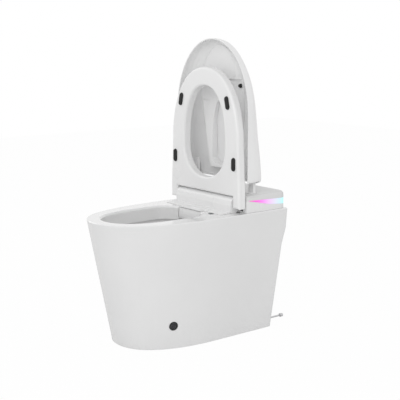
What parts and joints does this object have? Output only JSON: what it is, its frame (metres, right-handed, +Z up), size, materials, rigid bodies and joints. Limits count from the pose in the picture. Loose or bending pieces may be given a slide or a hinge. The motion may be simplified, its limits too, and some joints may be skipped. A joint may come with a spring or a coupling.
{
  "type": "smart toilet",
  "caption": "Floor-standing one-piece washing toilet with heated seat, raised lid, side light strips, washing nozzle and warm-air dryer",
  "frame": {"origin": "on the floor at the axis of the floor outlet", "axes": "+Z up, the bowl's nose towards -Y, X across the body with X = 0 on the plane of symmetry"},
  "size_m": [0.3927, 0.7064, 1.015],
  "materials": {
    "china": "glossy glazed white china",
    "white_shell": "semi-gloss moulded white plastic",
    "seat_shell": "smooth semi-gloss white plastic",
    "light_diffuser": "milky lit diffuser, magenta to cyan",
    "black_rubber": "matte black rubber",
    "circuit_board": "green board lacquer",
    "steel": "brushed stainless steel",
    "works_plastic": "plain grey moulding",
    "coil_winding": "taped coil",
    "heating_foil": "thin metal foil",
    "sensor_black": "black moulding",
    "sensor_glass": "dark glossy window"
  },
  "bodies": {
    "root": {"china_body": "china", "outlet_seal": "black_rubber", "housing_base": "white_shell", "housing_cover": "white_shell", "light_strip_right": "light_diffuser", "light_strip_left": "light_diffuser", "lamp_board_right": "circuit_board", "lamp_board_left": "circuit_board", "base_screws": "steel", "hinge_cover": "white_shell", "front_apron": "white_shell", "foam_outlet": "works_plastic", "seat_damper_right": "works_plastic", "seat_damper_left": "works_plastic", "lid_bearing_right": "works_plastic", "lid_bearing_left": "works_plastic", "nozzle_rail": "works_plastic", "nozzle_motor": "works_plastic", "nozzle_tray": "white_shell", "shield_pin": "steel", "dryer_duct": "works_plastic", "blower_case": "works_plastic", "blower_motor": "works_plastic", "water_heater": "works_plastic", "valve_block": "works_plastic", "solenoid_coils": "coil_winding", "power_supply": "works_plastic", "board_standoffs": "steel", "control_board": "circuit_board", "flush_valve": "works_plastic", "flush_pipe": "works_plastic", "inlet_tube": "steel", "inlet_nut": "steel", "inlet_grommet": "black_rubber", "foot_sensor_bezel": "sensor_black", "foot_sensor_window": "sensor_glass", "foot_sensor_body": "sensor_black"},
    "lid": {"lid_shell": "seat_shell", "lid_liner": "seat_shell", "lid_bumper_left": "black_rubber", "lid_bumper_right": "black_rubber", "lid_arm_right": "seat_shell", "lid_arm_left": "seat_shell", "lid_pin_right": "steel", "lid_pin_left": "steel"},
    "seat_drive": {"seat_shaft": "steel"},
    "seat": {"seat_top": "seat_shell", "seat_underside": "seat_shell", "seat_heater": "heating_foil", "seat_bumper_front_left": "black_rubber", "seat_bumper_front_right": "black_rubber", "seat_bumper_rear_left": "black_rubber", "seat_bumper_rear_right": "black_rubber"},
    "nozzle": {"nozzle_wand": "steel", "nozzle_tip": "white_shell"},
    "shield": {"nozzle_shield": "white_shell"},
    "flap": {"dryer_flap": "white_shell"},
    "rotor": {"blower_rotor": "works_plastic"}
  },
  "joints": [
    {"name": "lid_hinge", "type": "hinge", "parent": "root", "child": "lid", "pos_m": [0, 0.146, 0.48], "axis": [-1, 0, 0], "range_deg": [-90, 0]},
    {"name": "seat_drive", "type": "hinge", "parent": "root", "child": "seat_drive", "pos_m": [0, 0.09, 0.459], "axis": [-1, 0, 0], "range_deg": [-90, 0]},
    {"name": "seat_hinge", "type": "hinge", "parent": "seat_drive", "child": "seat", "pos_m": [0, 0.09, 0.459], "axis": [1, 0, 0], "range_deg": [0, 90]},
    {"name": "nozzle_slide", "type": "slide", "parent": "root", "child": "nozzle", "axis": [0, -0.9397, -0.342], "range_m": [0, 0.1]},
    {"name": "shield_swing", "type": "hinge", "parent": "root", "child": "shield", "pos_m": [0, 0.009, 0.425], "axis": [-1, 0, 0], "range_deg": [0, 85]},
    {"name": "flap_swing", "type": "hinge", "parent": "root", "child": "flap", "pos_m": [0.084, -0.001, 0.409], "axis": [-1, 0, 0], "range_deg": [0, 60]},
    {"name": "blower_spin", "type": "hinge", "parent": "root", "child": "rotor", "pos_m": [0.108, 0.196, 0.403], "axis": [0, 0, 1], "continuous": true}
  ],
  "couplings": [
    {"joint": "seat_drive", "follows": "lid_hinge", "ratio": 1},
    {"joint": "shield_swing", "follows": "nozzle_slide", "rad_per_m": 14.835}
  ]
}
